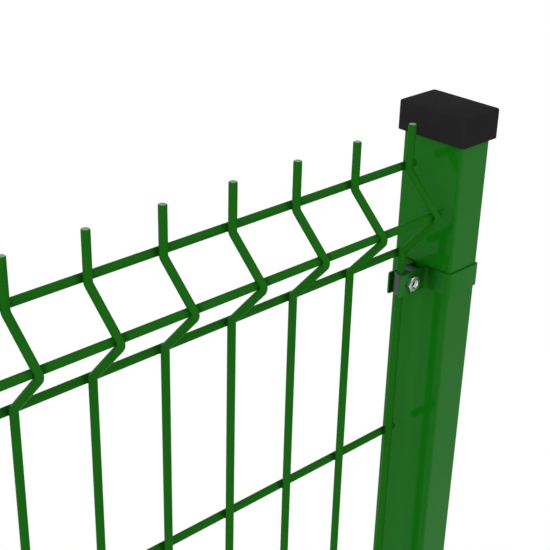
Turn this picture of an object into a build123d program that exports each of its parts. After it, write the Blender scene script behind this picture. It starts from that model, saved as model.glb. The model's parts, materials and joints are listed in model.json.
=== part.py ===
from build123d import *
import os

# Welded mesh fence panel, one bay: a folded wire panel between two posts on base plates.
# Millimetres. The origin is the centre of the left base plate's underside.
# X runs along the fence to the right post, Y away from the folded side, Z up.

# Wire panel
wire_dia = 5.7
weld_sink = 0.8
wire_pitch = 55.0
vertical_count = 37
left_node_count = 19
cell_height = 150.0
cells_per_field = 4
fold_depth = 29.4
fold_top_to_apex = 27.9
fold_apex_to_bottom = 32.9
fold_inset = 2.0
fold_bottom_inset = 2.6
apex_wire_rise = 1.2
spike_length = 30.0
bottom_stub = 8.0
horizontal_overhang = 11.0
fold_count = 3
ground_clearance = 60.0

# Posts
post_width = 31.0
post_depth = 52.0
post_wall = 1.5
post_corner_radius = 2.0
wire_to_post = 23.0
post_above_panel = 4.4

# Base plates
plate_length_x = 100.0
plate_length_y = 120.0
plate_thickness = 8.0
plate_corner_radius = 8.0
anchor_spacing_x = 70.0
anchor_spacing_y = 90.0
anchor_hole_dia = 12.0
foot_weld_leg = 4.0
foot_weld_top = 0.4

# Post caps
cap_overhang = 3.8
cap_height = 21.0
cap_roof = 3.0
cap_corner_radius = 3.0
cap_edge_chamfer = 1.2

# Clamps
strap_height = 17.0
strap_thickness = 1.5
strap_corner_slack = 0.5
ear_bend_radius = 1.5
clamp_gap = 8.8
ear_past_wire = 7.0
ear_corner_radius = 1.5
clamp_from_fold = 22.5

# Clamp inserts
insert_height = 16.0
insert_past_wire = 4.3
insert_nose_radius = 3.0
insert_post_clearance = 0.3
insert_boss_radius = 7.5
insert_boss_rise = 1.2
insert_boss_from_wire = 8.0
insert_wire_clearance = 0.1

# Clamp bolts and nuts, M6
bolt_dia = 6.0
bolt_hole_clearance = 0.2
bolt_from_wire = 6.0
bolt_head_across_flats = 10.0
bolt_head_height = 4.0
bolt_end_recess = 2.2
nut_across_flats = 11.0
nut_height = 3.2

# Slack for telling edges apart by their place
tolerance = 0.01

# Places worked out from the sizes above
wire_offset = wire_dia - weld_sink
wire_from_post_centre = post_width / 2 + wire_to_post
mesh_width = wire_pitch * (vertical_count - 1)
bay_length = mesh_width + 2 * wire_from_post_centre
fold_span = fold_inset + fold_top_to_apex + fold_apex_to_bottom + fold_bottom_inset
fold_spacing = fold_span + cells_per_field * cell_height
highest_fold = ground_clearance + bottom_stub + fold_span + (fold_count - 1) * fold_spacing
fold_tops = [highest_fold - fold * fold_spacing for fold in range(fold_count)]
panel_top = highest_fold + spike_length
post_top = panel_top + post_above_panel
clamp_heights = {
    "top": fold_tops[0] - fold_span - clamp_from_fold,
    "middle": fold_tops[1] - fold_span - clamp_from_fold,
    "bottom": fold_tops[2] + clamp_from_fold,
}


def vertical_points():
    """Points of one vertical wire in its own YZ plane, from the spike's tip down."""
    points = [(0, 0, panel_top)]
    for top in fold_tops:
        bend = top - fold_inset
        apex = bend - fold_top_to_apex
        points += [(0, 0, bend), (0, -fold_depth, apex), (0, 0, apex - fold_apex_to_bottom)]
    return points + [(0, 0, ground_clearance)]


def horizontal_places():
    """Each horizontal wire's Y and Z: three in every fold, the rest a cell apart."""
    places = []
    for fold, top in enumerate(fold_tops):
        apex = top - fold_inset - fold_top_to_apex + apex_wire_rise
        places += [(wire_offset, top), (wire_offset - fold_depth, apex), (wire_offset, top - fold_span)]
        if fold < fold_count - 1:
            for cell in range(1, cells_per_field):
                places.append((wire_offset, top - fold_span - cell * cell_height))
    return places


def make_vertical():
    """One vertical wire as a six-sided bar, its flats towards the horizontals."""
    points = vertical_points()
    with BuildPart() as vertical:
        with BuildLine():
            Polyline(*points)
        with BuildSketch(Plane(origin=points[0], x_dir=(1, 0, 0), z_dir=(0, 0, -1))):
            RegularPolygon(wire_offset / 2, 6, major_radius=False)
        sweep(transition=Transition.RIGHT)
    return vertical.part


def make_mesh(label, first, count, vertical):
    """A stretch of the panel: its verticals fused to the horizontals where they cross."""
    first_x = wire_from_post_centre + first * wire_pitch
    start = first_x - (horizontal_overhang if first == 0 else wire_pitch / 2)
    last_x = first_x + (count - 1) * wire_pitch
    ends_here = first + count == vertical_count
    end = last_x + (horizontal_overhang if ends_here else wire_pitch / 2)
    with BuildPart() as mesh:
        with Locations(*[(first_x + wire * wire_pitch, 0, 0) for wire in range(count)]):
            add(vertical)
        with BuildSketch(Plane(origin=(start, 0, 0), x_dir=(0, 1, 0), z_dir=(1, 0, 0))):
            with Locations(*horizontal_places()):
                RegularPolygon(wire_offset / 2, 6, major_radius=False, rotation=30)
        extrude(amount=end - start)
    mesh.part.label = label
    return mesh.part


def make_post(label, x):
    """A post: a rectangular tube standing on its base plate."""
    with BuildPart() as post:
        with BuildSketch(Plane((x, 0, plate_thickness))):
            RectangleRounded(post_width, post_depth, post_corner_radius)
            RectangleRounded(
                post_width - 2 * post_wall,
                post_depth - 2 * post_wall,
                post_corner_radius - post_wall,
                mode=Mode.SUBTRACT,
            )
        extrude(amount=post_top - plate_thickness)
    post.part.label = label
    return post.part


def make_base_plate(label, x):
    """A base plate with four anchor holes and the weld bead round the post's foot."""
    with BuildPart() as plate:
        with BuildSketch(Plane((x, 0, 0))):
            RectangleRounded(plate_length_x, plate_length_y, plate_corner_radius)
            with GridLocations(anchor_spacing_x, anchor_spacing_y, 2, 2):
                Circle(anchor_hole_dia / 2, mode=Mode.SUBTRACT)
        extrude(amount=plate_thickness)
        bead_sections = ((0, foot_weld_leg), (foot_weld_leg, foot_weld_top))
        for height, reach in bead_sections:
            with BuildSketch(Plane((x, 0, plate_thickness + height))):
                RectangleRounded(
                    post_width + 2 * reach, post_depth + 2 * reach, post_corner_radius + reach
                )
        loft()
        with BuildSketch(Plane((x, 0, plate_thickness))):
            RectangleRounded(post_width, post_depth, post_corner_radius)
        extrude(amount=foot_weld_leg, mode=Mode.SUBTRACT)
    plate.part.label = label
    return plate.part


def make_cap(label, x):
    """A plastic cap that slips over the post's top."""
    with BuildPart() as cap:
        with BuildSketch(Plane((x, 0, post_top + cap_roof - cap_height))):
            RectangleRounded(
                post_width + 2 * cap_overhang, post_depth + 2 * cap_overhang, cap_corner_radius
            )
        extrude(amount=cap_height)
        chamfer(cap.faces().sort_by(Axis.Z)[-1].edges(), cap_edge_chamfer)
        with BuildSketch(Plane((x, 0, post_top))):
            RectangleRounded(post_width, post_depth, post_corner_radius)
        extrude(amount=cap_roof - cap_height, mode=Mode.SUBTRACT)
    cap.part.label = label
    return cap.part


def bolt_plane(x, z, side):
    """The plane midway between a clamp's ears, centred on its bolt and facing back."""
    bolt_x = x - side * (wire_from_post_centre - bolt_from_wire)
    return Plane((bolt_x, 0, z), x_dir=(1, 0, 0), z_dir=(0, 1, 0))


def corners_at(edges, x, offset):
    """The two upright edges at this X that stand this far to either side of the middle."""
    return edges.filter_by(
        lambda edge: abs(edge.center().X - x) < tolerance
        and abs(abs(edge.center().Y) - offset) < tolerance
    )


def make_strap(label, x, z, side):
    """A strap bent round the post, its two ears standing out towards the panel."""
    face = post_width / 2
    ear_end = wire_from_post_centre + ear_past_wire
    ear_offset = (clamp_gap + strap_thickness) / 2
    inner_radius = post_corner_radius - strap_corner_slack
    with BuildPart() as strap:
        with BuildSketch(Plane((x, 0, z - strap_height / 2))):
            RectangleRounded(
                post_width + 2 * strap_thickness,
                post_depth + 2 * strap_thickness,
                inner_radius + strap_thickness,
            )
            with Locations((-side * ear_end / 2, 0)):
                Rectangle(ear_end, clamp_gap + 2 * strap_thickness)
                Rectangle(ear_end, clamp_gap, mode=Mode.SUBTRACT)
            RectangleRounded(post_width, post_depth, inner_radius, mode=Mode.SUBTRACT)
        extrude(amount=strap_height)
        corners = strap.edges().filter_by(Axis.Z)
        root_x = x - side * (face + strap_thickness)
        fillet(corners_at(corners, root_x, clamp_gap / 2 + strap_thickness), ear_bend_radius)
        slot_edges = corners_at(corners, x - side * face, clamp_gap / 2)
        fillet(slot_edges, ear_bend_radius + strap_thickness)
        ear_tips = strap.edges().filter_by(Axis.Y).filter_by_position(
            Axis.X, *sorted((x - side * ear_end - tolerance, x - side * ear_end + tolerance))
        )
        fillet(ear_tips, ear_corner_radius)
        with BuildSketch(bolt_plane(x, z, side)):
            Rectangle(bolt_dia + 2 * bolt_hole_clearance, bolt_dia + 2 * bolt_hole_clearance)
        extrude(amount=ear_offset + strap_thickness, both=True, mode=Mode.SUBTRACT)
    strap.part.label = label
    return strap.part


def make_insert(label, x, z, side):
    """The moulded insert between the ears: it wraps the wire and fills the gap."""
    inner = post_width / 2 + strap_thickness + insert_post_clearance
    outer = wire_from_post_centre + insert_past_wire
    boss = wire_from_post_centre - insert_boss_from_wire
    bolt = wire_from_post_centre - bolt_from_wire
    boss_lift = insert_height / 2 + insert_boss_rise - insert_boss_radius
    with BuildPart() as insert:
        with BuildSketch(Plane((x, 0, z), x_dir=(-side, 0, 0), z_dir=(0, side, 0))):
            with Locations(((inner + outer) / 2, 0)):
                Rectangle(outer - inner, insert_height)
            with Locations((boss, boss_lift)):
                Circle(insert_boss_radius)
            with Locations((bolt, 0)):
                Rectangle(bolt_dia, bolt_dia, mode=Mode.SUBTRACT)
        extrude(amount=clamp_gap / 2, both=True)
        nose_x = x - side * outer
        nose = insert.edges().filter_by(Axis.Z).filter_by_position(
            Axis.X, *sorted((nose_x - tolerance, nose_x + tolerance))
        )
        fillet(nose, insert_nose_radius)
        with BuildSketch(Plane((x - side * wire_from_post_centre, 0, z))):
            Circle(wire_dia / 2 + insert_wire_clearance)
        extrude(amount=insert_height, both=True, mode=Mode.SUBTRACT)
    insert.part.label = label
    return insert.part


def make_bolt(label, x, z, side):
    """A hexagon-headed clamp bolt, its head behind the rear ear and its end inside the nut."""
    ear_face = clamp_gap / 2 + strap_thickness
    grip = 2 * ear_face + nut_height - bolt_end_recess
    with BuildPart() as bolt:
        with BuildSketch(bolt_plane(x, z, side).offset(ear_face)):
            RegularPolygon(bolt_head_across_flats / 2, 6, major_radius=False, rotation=30)
        extrude(amount=bolt_head_height)
        with BuildSketch(bolt_plane(x, z, side).offset(ear_face)):
            Circle(bolt_dia / 2)
        extrude(amount=-grip)
    bolt.part.label = label
    return bolt.part


def make_nut(label, x, z, side):
    """A thin hexagon nut against the front ear, its corners up and down."""
    ear_face = clamp_gap / 2 + strap_thickness
    with BuildPart() as nut:
        with BuildSketch(bolt_plane(x, z, side).offset(-ear_face)):
            RegularPolygon(nut_across_flats / 2, 6, major_radius=False, rotation=30)
            Circle(bolt_dia / 2, mode=Mode.SUBTRACT)
        extrude(amount=-nut_height)
    nut.part.label = label
    return nut.part


def make_clamp(side_name, x, side):
    """The pieces of the three clamps that hold the panel's end wire to one post."""
    pieces = []
    for level, z in clamp_heights.items():
        place = f"{side_name}_{level}"
        pieces.append(make_strap(f"clamp_strap_{place}", x, z, side))
        pieces.append(make_insert(f"clamp_insert_{place}", x, z, side))
        pieces.append(make_bolt(f"clamp_bolt_{place}", x, z, side))
        pieces.append(make_nut(f"clamp_nut_{place}", x, z, side))
    return pieces


wire = make_vertical()
parts = [
    make_mesh("mesh_left", 0, left_node_count, wire),
    make_mesh("mesh_right", left_node_count, vertical_count - left_node_count, wire),
]
for side_name, x, side in (("left", 0, -1), ("right", bay_length, 1)):
    parts.append(make_post(f"post_{side_name}", x))
    parts.append(make_base_plate(f"base_plate_{side_name}", x))
    parts.append(make_cap(f"cap_{side_name}", x))
    parts += make_clamp(side_name, x, side)

os.makedirs("parts", exist_ok=True)
for piece in parts:
    export_step(piece, f"parts/{piece.label}.step")
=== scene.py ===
import json
import math

import bmesh
import bpy
from mathutils import Matrix, Vector

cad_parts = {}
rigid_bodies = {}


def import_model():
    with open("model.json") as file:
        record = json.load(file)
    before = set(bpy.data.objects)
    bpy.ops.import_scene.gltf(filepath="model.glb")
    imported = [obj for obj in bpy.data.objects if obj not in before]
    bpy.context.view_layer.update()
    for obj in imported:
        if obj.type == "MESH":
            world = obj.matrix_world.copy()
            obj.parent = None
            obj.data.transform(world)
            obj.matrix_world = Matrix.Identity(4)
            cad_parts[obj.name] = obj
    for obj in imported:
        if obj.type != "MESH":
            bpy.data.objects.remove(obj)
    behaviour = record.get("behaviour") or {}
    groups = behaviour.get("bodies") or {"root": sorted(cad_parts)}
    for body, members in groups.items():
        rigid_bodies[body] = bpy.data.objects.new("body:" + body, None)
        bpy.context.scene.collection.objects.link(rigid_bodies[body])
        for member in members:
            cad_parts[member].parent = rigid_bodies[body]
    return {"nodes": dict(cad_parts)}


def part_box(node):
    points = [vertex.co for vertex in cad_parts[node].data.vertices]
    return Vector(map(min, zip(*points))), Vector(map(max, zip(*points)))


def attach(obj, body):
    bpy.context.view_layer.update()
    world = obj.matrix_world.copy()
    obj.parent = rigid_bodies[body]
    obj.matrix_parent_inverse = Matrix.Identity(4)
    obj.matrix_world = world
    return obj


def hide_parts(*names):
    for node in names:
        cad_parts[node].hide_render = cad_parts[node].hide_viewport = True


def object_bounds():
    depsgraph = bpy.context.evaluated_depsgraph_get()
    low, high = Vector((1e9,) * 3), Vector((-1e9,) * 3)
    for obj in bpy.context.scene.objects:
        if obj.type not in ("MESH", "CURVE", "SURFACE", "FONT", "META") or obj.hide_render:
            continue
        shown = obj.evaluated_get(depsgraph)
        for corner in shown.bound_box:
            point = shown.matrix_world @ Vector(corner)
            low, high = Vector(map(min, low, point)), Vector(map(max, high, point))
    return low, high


bl_info = {
    "name": "Welded mesh fence panel",
    "version": (1, 0, 0),
    "blender": (4, 5, 0),
    "location": "3D View > Sidebar > Fence",
    "description": "Dresses one bay of folded wire fence and lights it in a white studio",
    "category": "Add Mesh",
}

for leftover in list(bpy.data.objects):
    bpy.data.objects.remove(leftover)
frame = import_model()
CAD_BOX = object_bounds()

# The way along X from each post to the panel, and the heights that have a clamp.
SIDES = {"left": 1, "right": -1}
LEVELS = ("top", "middle", "bottom")
# A point nearer to a plane than this, in metres, lies in it.
FLUSH = 1e-6
# An edge that goes further than this along an axis, in metres, runs that way.
RUNS = 0.001
# A face whose normal goes further than this along an axis looks that way.
LOOKS = 0.99
# Turns a shape that stands along Z so that it lies along Y.
ALONG_Y = Matrix.Rotation(math.radians(90), 4, "X")
# Flat sides round a bolt's rod and round an insert's boss.
ROD_SIDES = 24
BOSS_SIDES = 40
# A bend in a wire has one step for each of these angles, in degrees.
BEND_STEP = 15
# Only edges sharper than this are softened, in degrees.
SOFT_ANGLE = 40
# A power that keeps the painted shade deep in its corner, and the share of it that lies in the lower
# half.
CORNER_SHADE_POWER = 1.6
CORNER_SHADE_BELOW = 0.45


def metres(name, description, default, **limits):
    """A length as a setting, in metres."""
    return bpy.props.FloatProperty(
        name=name, description=description, default=default, unit="LENGTH", **limits
    )


def hex_colour(name, description, default):
    """A colour as a setting, as an sRGB hex value."""
    return bpy.props.StringProperty(name=name, description=description, default=default)


class FenceWireSettings(bpy.types.PropertyGroup):
    """The wire panel's sizes, which repeat the ones the CAD panel is built from."""

    diameter: metres("Wire diameter", "Upright and level wires, over the coat", 0.0057, min=0.002)
    weld_sink: metres("Weld sink", "How far two crossing wires are pressed together", 0.0008, min=0.0)
    count: bpy.props.IntProperty(
        name="Upright wires", description="Upright wires in the panel", default=37, min=2
    )
    overhang: metres("Overhang", "How far a level wire passes the last upright wire", 0.011)
    spike: metres("Spike length", "From the highest level wire to the CAD spikes' tips", 0.030)
    spike_extra: metres("Spike extra", "How far a real spike reaches past the CAD one", 0.0012)
    cell: metres("Cell height", "Spacing of the level wires between two folds", 0.150)
    cells: bpy.props.IntProperty(
        name="Cells between folds", description="Cells from one fold to the next", default=4, min=1
    )
    folds: bpy.props.IntProperty(
        name="Folds", description="Stiffening folds over the panel's height", default=3, min=1
    )
    fold_depth: metres("Fold depth", "How far a fold stands out of the panel", 0.0294)
    fold_inset: metres("Fold inset", "From a fold's upper level wire down to its first bend", 0.002)
    fold_upper: metres("Fold upper flank", "Height of the flank above a fold's nose", 0.0279)
    fold_lower: metres("Fold lower flank", "Height of the flank below a fold's nose", 0.0329)
    fold_outset: metres("Fold outset", "From the last bend to a fold's lower level wire", 0.0026)
    nose_rise: metres("Nose wire rise", "How far the nose's level wire sits above the bend", 0.0012)
    bend_radius: metres("Bend radius", "Radius of the wire's middle line at a bend", 0.0036)
    sides: bpy.props.IntProperty(
        name="Wire sides", description="Faces round a wire", default=16, min=8
    )
    tip_chamfer: metres("Tip edge", "Rounding of the coat at a cut wire end", 0.0005)
    weld_reach: metres("Weld reach", "How far a weld's metal runs along the level wire", 0.004)


class FencePostSettings(bpy.types.PropertyGroup):
    """Sizes of the caps and of the weld beads at the posts' feet."""

    cap_corner: metres("Cap corner", "Radius of the cap's upright corners", 0.003)
    cap_edge: metres("Cap edge", "Radius of the edge round the cap's top", 0.0012)
    cap_rim: metres("Cap rim", "Radius of the cap's lower edge", 0.0005)
    cap_roof: metres("Cap roof", "Thickness of the cap above the post's end", 0.003)
    bead_leg: metres("Weld leg", "Leg of the weld at a post's foot", 0.004)
    bead_ripple: metres("Weld ripple", "Spacing of the ripples along the weld bead", 0.0026)


class FenceClampSettings(bpy.types.PropertyGroup):
    """Sizes of the straps, inserts, bolts and nuts that hold the panel."""

    thickness: metres("Strap thickness", "Thickness of the strap's steel", 0.0015)
    gap: metres("Ear gap", "Gap between a strap's two ears", 0.0088)
    bend: metres("Strap bend", "Outer radius of the strap's bends round the post", 0.003)
    ear_corner: metres("Ear corner", "Radius of an ear's corners", 0.0015)
    soft_edge: metres("Coated edge", "Rounding of a cut steel edge under the coat", 0.0003)
    insert_height: metres("Insert height", "Height of the insert's straight part", 0.016)
    heel_drop: metres("Heel step", "How far the insert's heel lies below its top", 0.005)
    heel_from_boss: metres("Heel place", "From the boss's middle to the step to the heel", 0.0035)
    boss_radius: metres("Boss radius", "Radius of the round boss on the insert", 0.0075)
    boss_from_nose: metres("Boss place", "From the insert's nose to the boss's middle", 0.015)
    nose_radius: metres("Nose radius", "Rounding of the insert's nose round the wire", 0.0028)
    head_height: metres("Bolt head height", "Height of the bolt's head", 0.004)
    shank: metres("Bolt diameter", "M6 bolt", 0.006)
    thread_pitch: metres("Thread pitch", "Rise of the bolt's thread in one turn", 0.001)


class FenceFinishSettings(bpy.types.PropertyGroup):
    """Colours of the finishes and the real widths of their patterns."""

    coat: hex_colour("Powder coat", "Green of the powder coat", "0f650d")
    coat_thin: hex_colour("Thin coat", "Green where the coat is thinner or older", "0d600c")
    wire_coat: hex_colour("Wire coat", "Green of the coat on the wires", "195f13")
    wire_coat_thin: hex_colour("Thin wire coat", "Green of the wires where it is thinner", "165a11")
    # Painted shade: the welds between crossing wires are coated in this darker green, which stands in
    # for the shade in the crossings.
    shaded_weld_coat: hex_colour("Weld coat", "Green over the burnt metal of a weld", "0a3d0a")
    shaded_weld_coat_thin: hex_colour("Thin weld coat", "The same where the metal shows more", "083208")
    # Painted shade: the straps' inner faces, inside the ears, are coated in this darker green, which
    # stands in for the shade there.
    shaded_inside_coat: hex_colour("Inside coat", "Dirty green on a strap's inner faces", "093e0a")
    shaded_inside_coat_thin: hex_colour("Thin inside coat", "The same where it is thinner", "08380a")
    # Painted shade: the dark green painted on the level wires beside each crossing, where the upright
    # wire shades them, and how far from the crossing it reaches.
    crossing_shade: hex_colour("Weld soot", "Dark green close to a weld", "064605")
    crossing_shade_near: metres("Soot near", "Distance from a crossing where the soot starts to thin", 0.0022)
    crossing_shade_far: metres("Soot far", "Distance from a crossing at which the soot ends", 0.0085)
    # Painted shade: the dark green painted into the corners where the straps' ears leave the post,
    # and how much of the coat it hides at its thickest.
    painted_shade: hex_colour("Grime", "Dark green of grime in the straps' corners", "031a03")
    painted_shade_cover: bpy.props.FloatProperty(
        name="Grime cover",
        description="Share of the coat that grime hides at its thickest",
        default=0.85,
        min=0.0,
        max=1.0,
    )
    cap: hex_colour("Cap plastic", "Black of the moulded caps", "1f1f1f")
    cap_pale: hex_colour("Scuffed cap", "Black of a cap where it is scuffed", "232323")
    insert: hex_colour("Insert plastic", "Grey of the moulded inserts", "28353a")
    insert_pale: hex_colour("Pale insert", "Grey of an insert's flow marks", "334146")
    zinc: hex_colour("Zinc plate", "Colour of the bolts' plating", "c9cdc9")
    zinc_dull: hex_colour("Dull zinc", "Colour of the plating's clouds", "a9b2ad")
    # Painted shade: the bolts' sheared ends, deep in the nuts, are painted this dark as the shade
    # there.
    shaded_bare: hex_colour("Bare steel", "Colour of the bolts' sheared ends", "1c1e1b")
    shaded_bare_pale: hex_colour("Torn steel", "Colour of the torn crests on them", "3a3c38")
    cut_end: hex_colour("Cut wire end", "Thin pale coat over a cut end", "5b8659")
    cut_end_pale: hex_colour("Paler wire end", "The same where it is thinnest", "6f976b")
    film_drift: metres("Film drift", "Width of a patch of thinner coat", 0.045)
    orange_peel: metres("Orange peel", "Width of one dimple of the powder coat", 0.0014)
    shear_marks: metres("Shear marks", "Width of a mark on a cut wire end", 0.0015)
    mould_grain: metres("Mould grain", "Width of one grain of the moulded plastic", 0.0007)
    scuffs: metres("Scuffs", "Width of a scuffed patch on a cap", 0.012)
    flow_marks: metres("Flow marks", "Width of a flow mark on an insert", 0.004)
    spangle: metres("Spangle", "Width of a cloud in the zinc", 0.002)
    torn_grain: metres("Torn grain", "Width of a crest on sheared steel", 0.0008)


class FenceStageSettings(bpy.types.PropertyGroup):
    """Camera, lights and floor."""

    camera_place: bpy.props.FloatVectorProperty(
        name="Camera",
        description="Where the camera stands",
        default=(1.35838, -0.53843, 1.77690),
        subtype="TRANSLATION",
        size=3,
    )
    camera_turn: bpy.props.FloatVectorProperty(
        name="Camera turn",
        description="The camera's pitch, roll and heading",
        default=(math.radians(61.0579), math.radians(-0.9249), math.radians(-43.0664)),
        subtype="EULER",
        size=3,
    )
    lens: bpy.props.FloatProperty(
        name="Lens", description="Focal length on a 36 mm sensor, in millimetres", default=84.48
    )
    shift: bpy.props.FloatVectorProperty(
        name="Lens shift", description="The photograph's framing", default=(0.0445, 0.1555), size=2
    )
    key_strength: bpy.props.FloatProperty(
        name="Key light", description="Strength of the soft light from the left", default=1.55
    )
    fill_strength: bpy.props.FloatProperty(
        name="Fill light", description="Strength of the soft light from the front", default=0.5
    )
    ambient: bpy.props.FloatProperty(
        name="Ambient light", description="Even light from all round", default=0.83, min=0.0
    )
    floor: hex_colour("Floor", "Colour of the pale floor", "f4f4f4")
    floor_reach: metres("Floor reach", "From the floor's middle to its sides", 30.0)


def linear(hex_value):
    """An sRGB hex colour as linear red, green, blue and alpha."""
    parts = [int(hex_value[at : at + 2], 16) / 255 for at in (0, 2, 4)]
    return [c / 12.92 if c <= 0.04045 else ((c + 0.055) / 1.055) ** 2.4 for c in parts] + [1.0]


def add_node(tree, kind, inputs=None, **settings):
    """Adds a node with its settings; an input given as a node or as its output is linked."""
    node = tree.nodes.new(kind)
    for name, value in settings.items():
        setattr(node, name, value)
    for name, value in (inputs or {}).items():
        if isinstance(value, bpy.types.Node):
            value = next(output for output in value.outputs if output.enabled)
        if isinstance(value, bpy.types.NodeSocket):
            tree.links.new(value, node.inputs[name])
        else:
            node.inputs[name].default_value = value
    return node


def crossing_painted_shade(tree, place, finish):
    """How dark the painted shade is on a level wire beside each crossing, and its colour."""
    first, pitch, *_ = wire_places()
    along = add_node(tree, "ShaderNodeSeparateXYZ", {"Vector": place}).outputs["X"]
    along = add_node(tree, "ShaderNodeMath", {0: along, 1: first}, operation="SUBTRACT")
    away = add_node(tree, "ShaderNodeMath", {0: along, 1: pitch / 2}, operation="PINGPONG")
    reach = {"From Min": finish.crossing_shade_near, "From Max": finish.crossing_shade_far, "To Min": 1.0, "To Max": 0.0}
    crossing_shade = add_node(
        tree, "ShaderNodeMapRange", {"Value": away, **reach}, interpolation_type="SMOOTHSTEP"
    )
    return crossing_shade, finish.crossing_shade


def corner_painted_shade(tree, place, finish):
    """How dark the painted shade is in the corner between an ear and the post, and its colour."""
    painted_shade = add_node(
        tree, "ShaderNodeAttribute", attribute_type="GEOMETRY", attribute_name="painted_shade"
    )
    thick = painted_shade.outputs["Fac"]
    depth = add_node(tree, "ShaderNodeMath", {0: thick, 1: CORNER_SHADE_POWER}, operation="POWER")
    cover = add_node(
        tree, "ShaderNodeMath", {0: depth, 1: finish.painted_shade_cover}, operation="MULTIPLY"
    )
    return cover, finish.painted_shade


def powder_coat(tree, place, finish, green, specular, least_rough, most_rough, painted_darkening=None):
    """Polyester powder coat, sprayed and baked: an even film with fine orange peel."""
    # The film's thickness drifts over a few centimetres, which shifts the green very slightly.
    drift = add_node(
        tree, "ShaderNodeTexNoise", {"Vector": place, "Scale": 1 / finish.film_drift, "Detail": 3.0}
    )
    greens = {"A": linear(getattr(finish, green)), "B": linear(getattr(finish, f"{green}_thin"))}
    shade = add_node(tree, "ShaderNodeMix", {"Factor": drift, **greens}, data_type="RGBA")
    # Painted shade, where the finish has it, darkens the coat's green.
    if painted_darkening:
        cover, dark = painted_darkening(tree, place, finish)
        coats = {"A": shade, "B": linear(dark)}
        shade = add_node(tree, "ShaderNodeMix", {"Factor": cover, **coats}, data_type="RGBA")
    # Dimples of the melted powder, drawn at their real width.
    peel = add_node(
        tree,
        "ShaderNodeTexNoise",
        {"Vector": place, "Scale": 1 / finish.orange_peel, "Detail": 2.0, "Roughness": 0.4},
    )
    bump = add_node(
        tree, "ShaderNodeBump", {"Height": peel, "Strength": 0.25, "Distance": 0.00004}
    )
    gloss = add_node(
        tree, "ShaderNodeMapRange", {"Value": drift, "To Min": least_rough, "To Max": most_rough}
    )
    look = {"Base Color": shade, "Roughness": gloss, "IOR": 1.5, "Specular IOR Level": specular}
    return add_node(tree, "ShaderNodeBsdfPrincipled", {**look, "Normal": bump})


def cut_wire_end(tree, place, finish):
    """A sheared wire end with a thin, starved coat: pale, dull, with fine shear marks."""
    marks = add_node(
        tree, "ShaderNodeTexNoise", {"Vector": place, "Scale": 1 / finish.shear_marks, "Detail": 3.0}
    )
    tones = {"A": linear(finish.cut_end), "B": linear(finish.cut_end_pale)}
    shade = add_node(tree, "ShaderNodeMix", {"Factor": marks, **tones}, data_type="RGBA")
    bump = add_node(
        tree, "ShaderNodeBump", {"Height": marks, "Strength": 0.4, "Distance": 0.0001}
    )
    look = {"Base Color": shade, "Roughness": 0.55, "IOR": 1.5, "Normal": bump}
    return add_node(tree, "ShaderNodeBsdfPrincipled", look)


def cap_plastic(tree, place, finish):
    """Black polyethylene, injection moulded in a spark-eroded tool: dull, with a fine grain."""
    # The real grain is about 0.2 mm wide, and it is drawn coarser so that it shows.
    grain = add_node(
        tree,
        "ShaderNodeTexVoronoi",
        {"Vector": place, "Scale": 1 / finish.mould_grain},
        feature="SMOOTH_F1",
    )
    bump = add_node(
        tree, "ShaderNodeBump", {"Height": grain, "Strength": 0.5, "Distance": 0.00008}
    )
    scuff = add_node(
        tree, "ShaderNodeTexNoise", {"Vector": place, "Scale": 1 / finish.scuffs, "Detail": 4.0}
    )
    gloss = add_node(tree, "ShaderNodeMapRange", {"Value": scuff, "To Min": 0.5, "To Max": 0.68})
    tones = {"A": linear(finish.cap), "B": linear(finish.cap_pale)}
    shade = add_node(tree, "ShaderNodeMix", {"Factor": scuff, **tones}, data_type="RGBA")
    look = {"Base Color": shade, "Roughness": gloss, "IOR": 1.5, "Specular IOR Level": 0.004}
    return add_node(tree, "ShaderNodeBsdfPrincipled", {**look, "Normal": bump})


def insert_plastic(tree, place, finish):
    """Grey polyamide, injection moulded: smooth with slow flow marks."""
    flow = add_node(
        tree,
        "ShaderNodeTexNoise",
        {"Vector": place, "Scale": 1 / finish.flow_marks, "Detail": 2.0, "Distortion": 1.5},
    )
    tones = {"A": linear(finish.insert), "B": linear(finish.insert_pale)}
    shade = add_node(tree, "ShaderNodeMix", {"Factor": flow, **tones}, data_type="RGBA")
    gloss = add_node(tree, "ShaderNodeMapRange", {"Value": flow, "To Min": 0.28, "To Max": 0.4})
    bump = add_node(tree, "ShaderNodeBump", {"Height": flow, "Strength": 0.2, "Distance": 0.0001})
    look = {"Base Color": shade, "Roughness": gloss, "IOR": 1.53, "Normal": bump}
    return add_node(tree, "ShaderNodeBsdfPrincipled", look)


def zinc_plate(tree, place, finish):
    """Bright zinc plate on rolled steel: a metal sheen broken by faint cloudy spangle."""
    cloud = add_node(
        tree, "ShaderNodeTexNoise", {"Vector": place, "Scale": 1 / finish.spangle, "Detail": 4.0}
    )
    gloss = add_node(tree, "ShaderNodeMapRange", {"Value": cloud, "To Min": 0.18, "To Max": 0.36})
    tones = {"A": linear(finish.zinc), "B": linear(finish.zinc_dull)}
    shade = add_node(tree, "ShaderNodeMix", {"Factor": cloud, **tones}, data_type="RGBA")
    look = {"Base Color": shade, "Metallic": 1.0, "Roughness": gloss}
    return add_node(tree, "ShaderNodeBsdfPrincipled", look)


def shaded_sheared_steel(tree, place, finish):
    """Bare steel where the bolt was sheared off inside its nut: dull and torn, and painted dark as
    the shade deep in the nut's bore.
    """
    # The real crests are a few tenths of a millimetre wide, and they are drawn coarser to show.
    torn = add_node(
        tree, "ShaderNodeTexNoise", {"Vector": place, "Scale": 1 / finish.torn_grain, "Detail": 4.0}
    )
    tones = {"A": linear(finish.shaded_bare), "B": linear(finish.shaded_bare_pale)}
    shade = add_node(tree, "ShaderNodeMix", {"Factor": torn, **tones}, data_type="RGBA")
    bump = add_node(tree, "ShaderNodeBump", {"Height": torn, "Strength": 0.6, "Distance": 0.0002})
    look = {"Base Color": shade, "Roughness": 0.7, "Specular IOR Level": 0.3, "Normal": bump}
    return add_node(tree, "ShaderNodeBsdfPrincipled", look)
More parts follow.
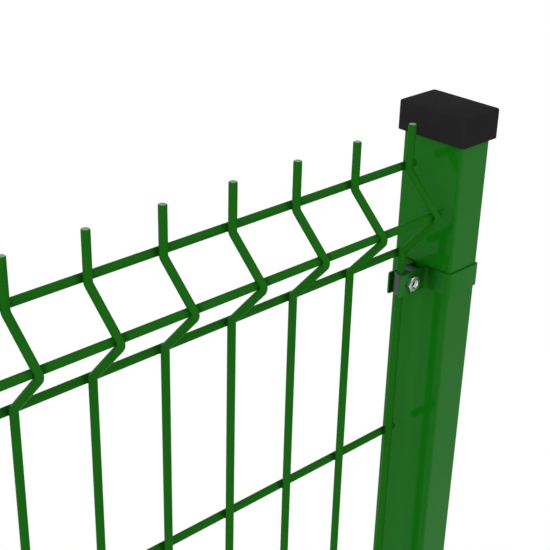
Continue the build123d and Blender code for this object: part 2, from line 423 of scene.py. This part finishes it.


# Each finish's recipe. A coat's also gives its colour, its specular level, its least and most
# roughness, and the painted shade that darkens it. On flat tube the film levels out and mirrors
# what stands before it; on thin wire it stays satin.
FINISHES = {
    "green_powder_coat_on_tube": (powder_coat, "coat", 0.09, 0.10, 0.15),
    # The straps' coat carries painted shade in the corners of the ears.
    "green_powder_coat_with_painted_shade_on_strap": (powder_coat, "coat", 0.09, 0.10, 0.15, corner_painted_shade),
    "green_powder_coat_on_wire": (powder_coat, "wire_coat", 0.006, 0.24, 0.34),
    # The level wires' coat carries painted shade beside each crossing.
    "green_powder_coat_with_painted_shade_on_level_wire": (powder_coat, "wire_coat", 0.006, 0.24, 0.34, crossing_painted_shade),
    # The welds' coat is painted dark as the shade in the crossings.
    "powder_coat_in_painted_shade_on_weld": (powder_coat, "shaded_weld_coat", 0.0, 0.3, 0.4),
    # The straps' inner faces take a coat painted dark as shade.
    "powder_coat_in_painted_shade_inside_strap": (powder_coat, "shaded_inside_coat", 0.05, 0.20, 0.30),
    "thin_coat_on_sheared_wire": (cut_wire_end,),
    "black_moulded_polyethylene": (cap_plastic,),
    "grey_moulded_polyamide": (insert_plastic,),
    "bright_zinc_plated_steel": (zinc_plate,),
    "sheared_steel_in_painted_shade": (shaded_sheared_steel,),
}


def new_material(name):
    """An empty material and its node tree."""
    material = bpy.data.materials.new(name)
    material.use_nodes = True
    material.node_tree.nodes.clear()
    return material, material.node_tree


def get_finish(name):
    """The material of this name, made when a piece first asks for it."""
    if name in bpy.data.materials:
        return bpy.data.materials[name]
    material, tree = new_material(name)
    place = add_node(tree, "ShaderNodeTexCoord").outputs["Object"]
    recipe, *values = FINISHES[name]
    shader = recipe(tree, place, bpy.context.scene.fence_finish, *values)
    add_node(tree, "ShaderNodeOutputMaterial", {"Surface": shader})
    return material


def finish_piece(name, shape, finishes, replaced=(), smooth_angle=35.0):
    """Turns a finished shape into a piece that rides on the fence and stands for CAD nodes."""
    mesh = bpy.data.meshes.new(name)
    shape.to_mesh(mesh)
    shape.free()
    for finish in finishes:
        mesh.materials.append(get_finish(finish))
    mesh.shade_smooth()
    mesh.set_sharp_from_angle(angle=math.radians(smooth_angle))
    piece = bpy.data.objects.new(name, mesh)
    bpy.context.scene.collection.objects.link(piece)
    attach(piece, "root")
    if replaced:
        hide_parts(*replaced)
    return piece


def soften(piece, width):
    """Rounds a piece's sharp edges by a bevel of this width."""
    rounding = piece.modifiers.new("Soft edges", "BEVEL")
    rounding.width = width
    rounding.segments = 2
    rounding.limit_method = "ANGLE"
    rounding.angle_limit = math.radians(SOFT_ANGLE)
    rounding.harden_normals = True


def whole(shape):
    """All of a shape's vertices, edges and faces."""
    return shape.verts[:] + shape.edges[:] + shape.faces[:]


def loose_parts(parts, kind):
    """The vertices, the edges or the faces among an operator's results."""
    return [item for item in parts if isinstance(item, kind)]


def run(edge, axis):
    """How far an edge goes along an axis."""
    return abs(edge.verts[0].co[axis] - edge.verts[1].co[axis])


def move_shape(shape, place):
    """Moves a whole shape to its place."""
    bmesh.ops.translate(shape, verts=shape.verts, vec=place)


def merge_shape(shape, other):
    """Adds another shape to this one."""
    mesh = bpy.data.meshes.new("part")
    other.to_mesh(mesh)
    other.free()
    shape.from_mesh(mesh)
    bpy.data.meshes.remove(mesh)


def repeat_along(shape, step, count):
    """Repeats the whole shape in a row."""
    bmesh.ops.spin(
        shape,
        geom=whole(shape),
        cent=(0, 0, 0),
        axis=(0, 0, 1),
        dvec=step,
        angle=0.0,
        steps=count - 1,
        use_duplicate=True,
    )


def block(corner, opposite):
    """A box between two opposite corners."""
    size = [abs(to - start) for start, to in zip(corner, opposite)]
    shape = bmesh.new()
    bmesh.ops.create_cube(shape, size=1.0)
    bmesh.ops.scale(shape, verts=shape.verts, vec=size)
    move_shape(shape, (Vector(corner) + Vector(opposite)) / 2)
    return shape


def bar(radius, start, end, sides, turn=0.0):
    """A plain bar along Y from one place to another."""
    shape = bmesh.new()
    middle = Matrix.Translation((0, (start + end) / 2, 0))
    bmesh.ops.create_cone(
        shape,
        segments=sides,
        radius1=radius,
        radius2=radius,
        depth=abs(end - start),
        cap_ends=True,
        matrix=middle @ ALONG_Y @ Matrix.Rotation(turn, 4, "Z"),
    )
    return shape


def drop(size):
    """A rounded drop of weld metal that reaches this far each way from its middle."""
    shape = bmesh.new()
    bmesh.ops.create_icosphere(shape, subdivisions=2, radius=1.0)
    bmesh.ops.scale(shape, verts=shape.verts, vec=size)
    return shape


def bevel(shape, parts, width, segments, affect="EDGES"):
    """Rounds edges, or a sheet's corners."""
    bmesh.ops.bevel(
        shape,
        geom=parts,
        offset=width,
        segments=segments,
        profile=0.5,
        affect=affect,
        material=-1,
    )


def extrude_ring(shape, edges, move, scale=1.0, centre=None):
    """Extrudes a ring of edges, moves it and scales it about its centre."""
    grown = bmesh.ops.extrude_edge_only(shape, edges=edges)["geom"]
    verts = loose_parts(grown, bmesh.types.BMVert)
    bmesh.ops.translate(shape, verts=verts, vec=move)
    if scale != 1.0:
        space = Matrix.Translation(-(Vector(centre) + Vector(move)))
        bmesh.ops.scale(shape, verts=verts, vec=(scale,) * 3, space=space)
    return loose_parts(grown, bmesh.types.BMEdge)


def draw_wire(points, wire):
    """One round wire: straight runs extruded, bends spun, and both ends cut and eased."""
    points = [Vector(point) for point in points]
    radius = wire.diameter / 2
    easing = wire.tip_chamfer
    heading = (points[1] - points[0]).normalized()
    facing = heading.to_track_quat("Z", "X").to_matrix().to_4x4()
    shape = bmesh.new()
    bmesh.ops.create_circle(
        shape,
        segments=wire.sides,
        radius=radius - easing,
        cap_ends=True,
        matrix=Matrix.Translation(points[0]) @ facing,
    )
    edges = extrude_ring(
        shape, shape.edges[:], heading * easing, radius / (radius - easing), points[0]
    )
    here = points[0] + heading * easing
    for corner, after in zip(points[1:], points[2:]):
        run_in = (corner - here).normalized()
        run_out = (after - corner).normalized()
        turn = run_in.angle(run_out)
        setback = wire.bend_radius * math.tan(turn / 2)
        edges = extrude_ring(shape, edges, corner - run_in * setback - here)
        axis = run_in.cross(run_out).normalized()
        ring = list(dict.fromkeys(vert for edge in edges for vert in edge.verts))
        spun = bmesh.ops.spin(
            shape,
            geom=ring + edges,
            cent=corner - run_in * setback + axis.cross(run_in) * wire.bend_radius,
            axis=axis,
            angle=turn,
            steps=max(2, round(math.degrees(turn) / BEND_STEP)),
            use_duplicate=False,
        )
        edges = loose_parts(spun["geom_last"], bmesh.types.BMEdge)
        here = corner + run_out * setback
    heading = (points[-1] - here).normalized()
    last = points[-1] - heading * easing
    edges = extrude_ring(shape, edges, last - here)
    edges = extrude_ring(shape, edges, heading * easing, 1 - easing / radius, last)
    bmesh.ops.contextual_create(shape, geom=edges)
    for face in shape.faces:
        face.material_index = int(len(face.verts) == wire.sides)
    bmesh.ops.recalc_face_normals(shape, faces=shape.faces)
    return shape


def wire_places():
    """First upright wire's X, the wire spacing, the folds' tops, and the level wires' Y and Z."""
    wire = bpy.context.scene.fence_wire
    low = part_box("mesh_left")[0]
    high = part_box("mesh_right")[1]
    first = low.x + wire.overhang
    pitch = (high.x - wire.overhang - first) / (wire.count - 1)
    behind = wire.diameter - wire.weld_sink
    span = wire.fold_inset + wire.fold_upper + wire.fold_lower + wire.fold_outset
    spacing = span + wire.cells * wire.cell
    tops = [high.z - wire.spike - fold * spacing for fold in range(wire.folds)]
    levels = []
    for fold, top in enumerate(tops):
        nose = top - wire.fold_inset - wire.fold_upper + wire.nose_rise
        levels += [(behind, top), (behind - wire.fold_depth, nose), (behind, top - span)]
        if fold < wire.folds - 1:
            levels += [(behind, top - span - cell * wire.cell) for cell in range(1, wire.cells)]
    return first, pitch, tops, levels


class FENCE_OT_upright_wires(bpy.types.Operator):
    """Draw the upright wires with their folds and spikes"""

    bl_idname = "fence.upright_wires"
    bl_label = "Upright wires"

    def execute(self, context):
        wire = context.scene.fence_wire
        first, pitch, tops, _ = wire_places()
        points = [(first, 0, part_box("mesh_right")[1].z + wire.spike_extra)]
        for top in tops:
            bend = top - wire.fold_inset
            nose = bend - wire.fold_upper
            points.append((first, 0, bend))
            points.append((first, -wire.fold_depth, nose))
            points.append((first, 0, nose - wire.fold_lower))
        points.append((first, 0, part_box("mesh_left")[0].z))
        shape = draw_wire(points, wire)
        repeat_along(shape, (pitch, 0, 0), wire.count)
        finishes = ["green_powder_coat_on_wire", "thin_coat_on_sheared_wire"]
        nodes = ["mesh_left", "mesh_right"]
        finish_piece("upright_wires", shape, finishes, nodes)
        return {"FINISHED"}


class FENCE_OT_level_wires(bpy.types.Operator):
    """Draw the level wires behind the upright ones"""

    bl_idname = "fence.level_wires"
    bl_label = "Level wires"

    def execute(self, context):
        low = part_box("mesh_left")[0].x
        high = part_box("mesh_right")[1].x
        shape = bmesh.new()
        for y, z in wire_places()[3]:
            merge_shape(shape, draw_wire([(low, y, z), (high, y, z)], context.scene.fence_wire))
        # The level wires' coat is darkened by painted shade beside each crossing.
        finishes = ["green_powder_coat_with_painted_shade_on_level_wire", "thin_coat_on_sheared_wire"]
        finish_piece("level_wires", shape, finishes)
        return {"FINISHED"}


class FENCE_OT_crossing_welds(bpy.types.Operator):
    """Set the squeezed-out metal of a resistance weld at every crossing"""

    bl_idname = "fence.crossing_welds"
    bl_label = "Crossing welds"

    def execute(self, context):
        wire = context.scene.fence_wire
        first, pitch, _, levels = wire_places()
        # The metal stays a little inside the level wire's outline, above and below.
        size = (wire.weld_reach, wire.diameter / 3, wire.diameter * 0.39)
        touching = (wire.diameter - wire.weld_sink) / 2
        shape = bmesh.new()
        for y, z in levels:
            blob = drop(size)
            move_shape(blob, (first, y - touching, z))
            merge_shape(shape, blob)
        repeat_along(shape, (pitch, 0, 0), wire.count)
        # The weld drops take a coat painted dark as the shade in the crossings.
        finish_piece("crossing_welds", shape, ["powder_coat_in_painted_shade_on_weld"])
        return {"FINISHED"}


def weld_bead(corners, leg, ripple):
    """A weld bead round a foot: drops that overlap in a closed row."""
    mesh = bpy.data.meshes.new("ripple")
    # Each drop reaches this far out from the post, along it and up it.
    single = drop((leg * 0.72, ripple * 0.9, leg * 0.8))
    single.to_mesh(mesh)
    single.free()
    shape = bmesh.new()
    for start, to in zip(corners, corners[1:] + corners[:1]):
        way = to - start
        turn = Matrix.Rotation(math.atan2(way.y, way.x) - math.pi / 2, 4, "Z")
        count = round(way.length / ripple)
        for step in range(count):
            before = len(shape.verts)
            shape.from_mesh(mesh)
            shape.verts.ensure_lookup_table()
            place = Matrix.Translation(start + way * step / count)
            bmesh.ops.transform(shape, verts=shape.verts[before:], matrix=place @ turn)
    bpy.data.meshes.remove(mesh)
    return shape


class FENCE_OT_posts(bpy.types.Operator):
    """Coat the posts and base plates and weld them together"""

    bl_idname = "fence.posts"
    bl_label = "Posts"

    def execute(self, context):
        settings = context.scene.fence_post
        coat = "green_powder_coat_on_tube"
        for side in SIDES:
            for node in (f"post_{side}", f"base_plate_{side}"):
                mesh = frame["nodes"][node].data
                mesh.materials.clear()
                mesh.materials.append(get_finish(coat))
            low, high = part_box(f"post_{side}")
            foot = [(low.x, low.y), (high.x, low.y), (high.x, high.y), (low.x, high.y)]
            corners = [Vector((x, y, low.z)) for x, y in foot]
            bead = weld_bead(corners, settings.bead_leg, settings.bead_ripple)
            finish_piece(f"foot_weld_{side}", bead, [coat])
        return {"FINISHED"}


class FENCE_OT_caps(bpy.types.Operator):
    """Mould the two post caps"""

    bl_idname = "fence.caps"
    bl_label = "Post caps"

    def execute(self, context):
        settings = context.scene.fence_post
        for side in SIDES:
            low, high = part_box(f"cap_{side}")
            post_low, post_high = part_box(f"post_{side}")
            shape = block(low, high)
            upright = [edge for edge in shape.edges if run(edge, 2) > RUNS]
            bevel(shape, upright, settings.cap_corner, segments=6)
            top = [e for e in shape.edges if min(v.co.z for v in e.verts) > high.z - FLUSH]
            bevel(shape, top, settings.cap_edge, segments=4)
            floor = [face for face in shape.faces if face.normal.z < -LOOKS]
            wall = (high.x - low.x - post_high.x + post_low.x) / 2
            bmesh.ops.inset_region(shape, faces=floor, thickness=wall, use_even_offset=True)
            cavity = bmesh.ops.extrude_face_region(shape, geom=floor)["geom"]
            bmesh.ops.delete(shape, geom=floor, context="FACES")
            depth = high.z - low.z - settings.cap_roof
            inside = loose_parts(cavity, bmesh.types.BMVert)
            bmesh.ops.translate(shape, verts=inside, vec=(0, 0, depth))
            bmesh.ops.recalc_face_normals(shape, faces=shape.faces)
            name = f"moulded_cap_{side}"
            finishes = ["black_moulded_polyethylene"]
            piece = finish_piece(name, shape, finishes, [f"cap_{side}"])
            soften(piece, settings.cap_rim)
        return {"FINISHED"}


def clamp_places():
    """Each of the six clamps: its side, the ending of its names, and the way to the panel."""
    return [(side, f"{side}_{level}", way) for side, way in SIDES.items() for level in LEVELS]


def bent_strap(low, high, near, far, way, clamp):
    """A strap's outer sheet, bent round the post's near and far faces, with painted shade on its
    ears.
    """
    half_gap = clamp.gap / 2 + clamp.thickness
    tip = high.x if way > 0 else low.x
    root = near + way * clamp.thickness
    back = far - way * clamp.thickness
    half = [(tip, -half_gap), (root, -half_gap), (root, low.y), (back, low.y)]
    other = [(back, high.y), (root, high.y), (root, half_gap), (tip, half_gap)]
    shape = bmesh.new()
    verts = [shape.verts.new((x, y, low.z)) for x, y in half + other]
    edges = [shape.edges.new(pair) for pair in zip(verts, verts[1:])]
    extrude_ring(shape, edges, (0, 0, high.z - low.z))
    bmesh.ops.recalc_face_normals(shape, faces=shape.faces)
    outer = max(shape.faces, key=lambda face: abs(face.calc_center_median().y))
    if outer.normal.y * outer.calc_center_median().y < 0:
        bmesh.ops.reverse_faces(shape, faces=shape.faces)
    bends = [edge for edge in shape.edges if len(edge.link_faces) == 2]
    bevel(shape, bends, clamp.bend, segments=6)
    corners = [vert for vert in shape.verts if abs(vert.co.x - tip) < FLUSH]
    bevel(shape, corners, clamp.ear_corner, segments=4, affect="VERTICES")
    # The painted shade is darkest high in the corner of each ear, and none lies at the tips.
    painted_shade = shape.verts.layers.float.new("painted_shade")
    for vert in shape.verts:
        along = abs(vert.co.x - root) / abs(tip - root)
        across = abs(abs(vert.co.y) - half_gap) / (high.y - half_gap)
        share = 1.0 if vert.co.z > (low.z + high.z) / 2 else CORNER_SHADE_BELOW
        vert[painted_shade] = max(0.0, 1.0 - along - across) * share
    return shape


class FENCE_OT_straps(bpy.types.Operator):
    """Bend the six clamp straps round the posts"""

    bl_idname = "fence.straps"
    bl_label = "Clamp straps"

    def execute(self, context):
        clamp = context.scene.fence_clamp
        # The outer coat carries painted shade in the ears' corners.
        finishes = ["green_powder_coat_with_painted_shade_on_strap", "powder_coat_in_painted_shade_inside_strap"]
        for side, place, way in clamp_places():
            node = f"clamp_strap_{place}"
            near, far = sorted([corner.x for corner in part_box(f"post_{side}")], reverse=way > 0)
            shape = bent_strap(*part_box(node), near, far, way, clamp)
            piece = finish_piece(
                f"bent_strap_{place}", shape, finishes, [node]
            )
            steel = piece.modifiers.new("Steel thickness", "SOLIDIFY")
            steel.thickness = clamp.thickness
            steel.offset = -1.0
            steel.use_even_offset = True
            # The inner shell takes the second finish, painted dark as shade.
            steel.material_offset = 1
            soften(piece, clamp.soft_edge)
        return {"FINISHED"}


class FENCE_OT_inserts(bpy.types.Operator):
    """Mould the inserts that hold the end wires between the ears"""

    bl_idname = "fence.inserts"
    bl_label = "Clamp inserts"

    def execute(self, context):
        clamp = context.scene.fence_clamp
        for _, place, way in clamp_places():
            node = f"clamp_insert_{place}"
            low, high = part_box(node)
            strap_low, strap_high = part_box(f"clamp_strap_{place}")
            middle = (strap_low.z + strap_high.z) / 2
            floor = middle - clamp.insert_height / 2
            roof = middle + clamp.insert_height / 2
            inner, nose = sorted((low.x, high.x), reverse=way < 0)
            boss_x = nose - way * clamp.boss_from_nose
            step = boss_x - way * clamp.heel_from_boss
            shape = block((step, low.y, floor), (nose, high.y, roof))
            front = [e for e in shape.edges if all(abs(v.co.x - nose) < FLUSH for v in e.verts)]
            rims = [edge for edge in front if run(edge, 2) > RUNS]
            bevel(shape, rims, clamp.nose_radius, segments=5)
            boss = bar(clamp.boss_radius, low.y, high.y, BOSS_SIDES)
            move_shape(boss, (boss_x, 0, high.z - clamp.boss_radius))
            merge_shape(shape, boss)
            # The heel, from the boss to the post, is lower, so the ears leave a dark gap.
            heel = block((inner, low.y, floor), (step, high.y, roof - clamp.heel_drop))
            merge_shape(shape, heel)
            piece = finish_piece(
                f"moulded_insert_{place}",
                shape,
                ["grey_moulded_polyamide"],
                [node],
            )
            soften(piece, clamp.soft_edge * 2)
        return {"FINISHED"}


# The corners of a nut and of a bolt's head are turned off by this many flat cuts, at this slope,
# from this share of its width outwards.
TURNED_CUTS = 24
TURNED_SLOPE = math.radians(30)
TURNED_SHARE = 0.475


def hexagon(across, low, high, outwards):
    """A hexagon bar along Y, corners up and down, with the corners of some ends turned off."""
    shape = bar(across / math.sqrt(3), low, high, sides=6, turn=math.radians(30))
    for outward in outwards:
        end = Vector((0, high if outward > 0 else low, 0))
        tilt = Vector((0, outward, 0)) * math.cos(TURNED_SLOPE)
        for cut in range(TURNED_CUTS):
            angle = math.radians(360 / TURNED_CUTS * cut)
            around = Vector((math.cos(angle), 0, math.sin(angle)))
            bmesh.ops.bisect_plane(
                shape,
                geom=whole(shape),
                plane_co=around * across * TURNED_SHARE + end,
                plane_no=around * math.sin(TURNED_SLOPE) + tilt,
                clear_outer=True,
            )
            rim = [edge for edge in shape.edges if edge.is_boundary]
            if rim:
                bmesh.ops.contextual_create(shape, geom=rim)
    bmesh.ops.recalc_face_normals(shape, faces=shape.faces)
    return shape


def threaded_rod(radius, start, end, pitch):
    """A threaded rod along Y: one thread groove spun into a helix round a plain core."""
    shape = bmesh.new()
    # The thread's depth and the places of its flanks are shares of its pitch.
    root = radius - pitch * 0.55
    profile = ((root, 0.0), (radius, 0.4), (radius, 0.55), (root, 0.95))
    groove = [shape.verts.new((x, start - pitch * share, 0)) for x, share in profile]
    edges = [shape.edges.new(pair) for pair in zip(groove, groove[1:])]
    turns = round((start - end) / pitch)
    steps = ROD_SIDES * turns
    bmesh.ops.spin(
        shape,
        geom=groove + edges,
        cent=(0, 0, 0),
        axis=(0, 1, 0),
        dvec=(0, (end - start + pitch) / steps, 0),
        angle=math.tau * turns,
        steps=steps,
        use_duplicate=False,
    )
    # The core is a little thicker than the thread's root, so that no gap shows.
    merge_shape(shape, bar(radius - pitch * 0.44, start, end, ROD_SIDES))
    bmesh.ops.recalc_face_normals(shape, faces=shape.faces)
    for face in shape.faces:
        # The bolt's end face, deep in the nut, takes the second finish, painted dark as shade.
        face.material_index = int(face.normal.y < -LOOKS and len(face.verts) > 4)
    return shape


def open_nut(across, low, high, clamp):
    """A hexagon nut along Y with an eased mouth at each end and a threaded bore."""
    shape = hexagon(across, low, high, (-1, 1))
    # The mouth's radius, its easing and the easing's depth are shares of the bolt's diameter.
    flat = across * TURNED_SHARE - clamp.shank * 0.54
    ease = clamp.shank * 0.04
    mouths = []
    for outward in (-1, 1):
        ends = [face for face in shape.faces if face.normal.y * outward > LOOKS]
        mouth = max(ends, key=lambda face: face.calc_area())
        bmesh.ops.inset_region(shape, faces=[mouth], thickness=flat)
        bmesh.ops.inset_region(shape, faces=[mouth], thickness=ease, depth=-clamp.shank * 0.06)
        mouths.append(mouth)
    rims = [edge for mouth in mouths for edge in mouth.edges]
    bmesh.ops.delete(shape, geom=mouths, context="FACES_ONLY")
    bore = bmesh.ops.bridge_loops(shape, edges=rims)["faces"]
    sides = dict.fromkeys(edge for face in bore for edge in face.edges)
    walls = [edge for edge in sides if run(edge, 1) > RUNS]
    length = max(edge.calc_length() for edge in walls)
    # The bore's thread is a row of crests one pitch apart, which stand in by about half a pitch.
    cuts = 2 * round(length / clamp.thread_pitch) - 1
    cut = bmesh.ops.subdivide_edges(shape, edges=walls, cuts=cuts, use_grid_fill=True)
    rings = loose_parts(cut["geom_inner"], bmesh.types.BMVert)
    heights = sorted({round(vert.co.y, 6) for vert in rings})
    crests = [vert for vert in rings if heights.index(round(vert.co.y, 6)) % 2 == 0]
    crest = 1 - clamp.thread_pitch * 0.54 / (clamp.shank / 2)
    bmesh.ops.scale(shape, verts=crests, vec=(crest, 1, crest))
    bmesh.ops.recalc_face_normals(shape, faces=shape.faces)
    return shape


class FENCE_OT_bolts(bpy.types.Operator):
    """Turn the six clamp bolts with their heads and threads"""

    bl_idname = "fence.bolts"
    bl_label = "Clamp bolts"

    def execute(self, context):
        clamp = context.scene.fence_clamp
        radius = clamp.shank / 2
        # The bolts' second finish is sheared steel painted dark as the shade in the nuts.
        finishes = ["bright_zinc_plated_steel", "sheared_steel_in_painted_shade"]
        for _, place, _ in clamp_places():
            node = f"clamp_bolt_{place}"
            low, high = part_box(node)
            nut_low, nut_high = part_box(f"clamp_nut_{place}")
            under_head = high.y - clamp.head_height
            thread_start = nut_high.y + clamp.thickness
            shape = hexagon(nut_high.x - nut_low.x, under_head, high.y, (1,))
            merge_shape(shape, threaded_rod(radius, thread_start, low.y, clamp.thread_pitch))
            merge_shape(shape, bar(radius, thread_start, under_head, ROD_SIDES))
            centre = (low + high) / 2
            move_shape(shape, (centre.x, 0, centre.z))
            name = f"threaded_bolt_{place}"
            finish_piece(name, shape, finishes, [node], smooth_angle=30.0)
        return {"FINISHED"}


class FENCE_OT_nuts(bpy.types.Operator):
    """Cut the six hexagon nuts"""

    bl_idname = "fence.nuts"
    bl_label = "Clamp nuts"

    def execute(self, context):
        finishes = ["bright_zinc_plated_steel"]
        for _, place, _ in clamp_places():
            node = f"clamp_nut_{place}"
            low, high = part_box(node)
            centre = (low + high) / 2
            shape = open_nut(high.x - low.x, low.y, high.y, context.scene.fence_clamp)
            move_shape(shape, (centre.x, 0, centre.z))
            name = f"hexagon_nut_{place}"
            finish_piece(name, shape, finishes, [node], smooth_angle=20.0)
        return {"FINISHED"}


# Each light's way to the object and the width it shines from, in degrees.
KEY = ((-0.95, -0.2, 0.2), 70)
FILL = ((0.5, -0.75, 0.45), 90)
# The floor's glow where the camera looks at it, and how much of its colour the glow takes over.
FLOOR_GLOW = 1.05
FLOOR_SHARE = 0.6


def add_light(name, way, spread, strength):
    """A broad far light that shines from this way over the whole floor alike."""
    light = bpy.data.lights.new(name, "SUN")
    light.angle = math.radians(spread)
    light.energy = strength
    holder = bpy.data.objects.new(name, light)
    holder.rotation_euler = Vector(way).to_track_quat("Z", "Y").to_euler()
    bpy.context.scene.collection.objects.link(holder)


class FENCE_OT_stage(bpy.types.Operator):
    """Set the camera, the lights, the floor and the white background"""

    bl_idname = "fence.stage"
    bl_label = "Studio"

    def execute(self, context):
        scene = context.scene
        settings = scene.fence_stage
        lens = bpy.data.cameras.new("photo_camera")
        lens.sensor_width = 36.0
        lens.lens = settings.lens
        lens.shift_x, lens.shift_y = settings.shift
        lens.clip_start = 0.01
        camera = bpy.data.objects.new("photo_camera", lens)
        camera.location = settings.camera_place
        camera.rotation_euler = settings.camera_turn
        scene.collection.objects.link(camera)
        scene.camera = camera
        scene.view_settings.view_transform = "Standard"
        self.set_world(scene, settings.ambient)
        # A soft light from the left, and a broader one from the front on the right.
        add_light("key", *KEY, settings.key_strength)
        add_light("fill", *FILL, settings.fill_strength)
        self.lay_floor(scene, settings)
        return {"FINISHED"}

    def set_world(self, scene, ambient):
        """Soft even light, with pure white where a camera, glossy or glass ray looks."""
        world = bpy.data.worlds.new("studio")
        world.use_nodes = True
        tree = world.node_tree
        tree.nodes.clear()
        path = add_node(tree, "ShaderNodeLightPath").outputs
        seen = path["Is Camera Ray"]
        for ray in ("Is Glossy Ray", "Is Transmission Ray"):
            seen = add_node(tree, "ShaderNodeMath", {0: seen, 1: path[ray]}, operation="MAXIMUM")
        strength = add_node(
            tree, "ShaderNodeMapRange", {"Value": seen, "To Min": ambient, "To Max": 1.0}
        )
        sky = add_node(
            tree, "ShaderNodeBackground", {"Color": (1, 1, 1, 1), "Strength": strength}
        )
        add_node(tree, "ShaderNodeOutputWorld", {"Surface": sky})
        scene.world = world

    def lay_floor(self, scene, settings):
        """A wide pale floor that keeps the fence's shadow."""
        shape = bmesh.new()
        bmesh.ops.create_grid(shape, x_segments=1, y_segments=1, size=settings.floor_reach)
        move_shape(shape, ((CAD_BOX[0].x + CAD_BOX[1].x) / 2, 0, CAD_BOX[0].z))
        mesh = bpy.data.meshes.new("studio_floor")
        shape.to_mesh(mesh)
        shape.free()
        material, tree = new_material("matt_white_studio_floor")
        look = {"Base Color": linear(settings.floor), "Roughness": 0.9, "Specular IOR Level": 0.0}
        plain = add_node(tree, "ShaderNodeBsdfPrincipled", look)
        seen = add_node(tree, "ShaderNodeLightPath").outputs["Is Camera Ray"]
        share = add_node(tree, "ShaderNodeMath", {0: seen, 1: FLOOR_SHARE}, operation="MULTIPLY")
        glow = {"Color": (1, 1, 1, 1), "Strength": FLOOR_GLOW}
        white = add_node(tree, "ShaderNodeEmission", glow)
        mix = add_node(tree, "ShaderNodeMixShader", {0: share, 1: plain, 2: white})
        add_node(tree, "ShaderNodeOutputMaterial", {"Surface": mix})
        mesh.materials.append(material)
        floor = bpy.data.objects.new("studio_floor", mesh)
        scene.collection.objects.link(floor)


class FENCE_PT_panel(bpy.types.Panel):
    """Lists the steps and the settings of the fence"""

    bl_idname = "FENCE_PT_panel"
    bl_label = "Mesh fence"
    bl_space_type = "VIEW_3D"
    bl_region_type = "UI"
    bl_category = "Fence"

    def draw(self, context):
        for name, settings in SETTINGS.items():
            box = self.layout.box()
            for setting in settings.__annotations__:
                box.prop(getattr(context.scene, name), setting)
        for step in STEPS:
            self.layout.operator(step.bl_idname)


STEPS = (
    FENCE_OT_stage,
    FENCE_OT_posts,
    FENCE_OT_upright_wires,
    FENCE_OT_level_wires,
    FENCE_OT_crossing_welds,
    FENCE_OT_caps,
    FENCE_OT_straps,
    FENCE_OT_inserts,
    FENCE_OT_bolts,
    FENCE_OT_nuts,
)
SETTINGS = {
    "fence_wire": FenceWireSettings,
    "fence_post": FencePostSettings,
    "fence_clamp": FenceClampSettings,
    "fence_finish": FenceFinishSettings,
    "fence_stage": FenceStageSettings,
}


def register():
    """Registers the settings, the steps and the panel."""
    for name, settings in SETTINGS.items():
        bpy.utils.register_class(settings)
        setattr(bpy.types.Scene, name, bpy.props.PointerProperty(type=settings))
    for step in STEPS:
        bpy.utils.register_class(step)
    bpy.utils.register_class(FENCE_PT_panel)


def unregister():
    """Takes the panel, the steps and the settings out again."""
    bpy.utils.unregister_class(FENCE_PT_panel)
    for step in reversed(STEPS):
        bpy.utils.unregister_class(step)
    for name, settings in SETTINGS.items():
        delattr(bpy.types.Scene, name)
        bpy.utils.unregister_class(settings)


def main():
    """Builds the whole scene in order."""
    register()
    bpy.ops.fence.stage()
    bpy.ops.fence.posts()
    bpy.ops.fence.upright_wires()
    bpy.ops.fence.level_wires()
    bpy.ops.fence.crossing_welds()
    bpy.ops.fence.caps()
    bpy.ops.fence.straps()
    bpy.ops.fence.inserts()
    bpy.ops.fence.bolts()
    bpy.ops.fence.nuts()


if __name__ == "__main__":
    main()
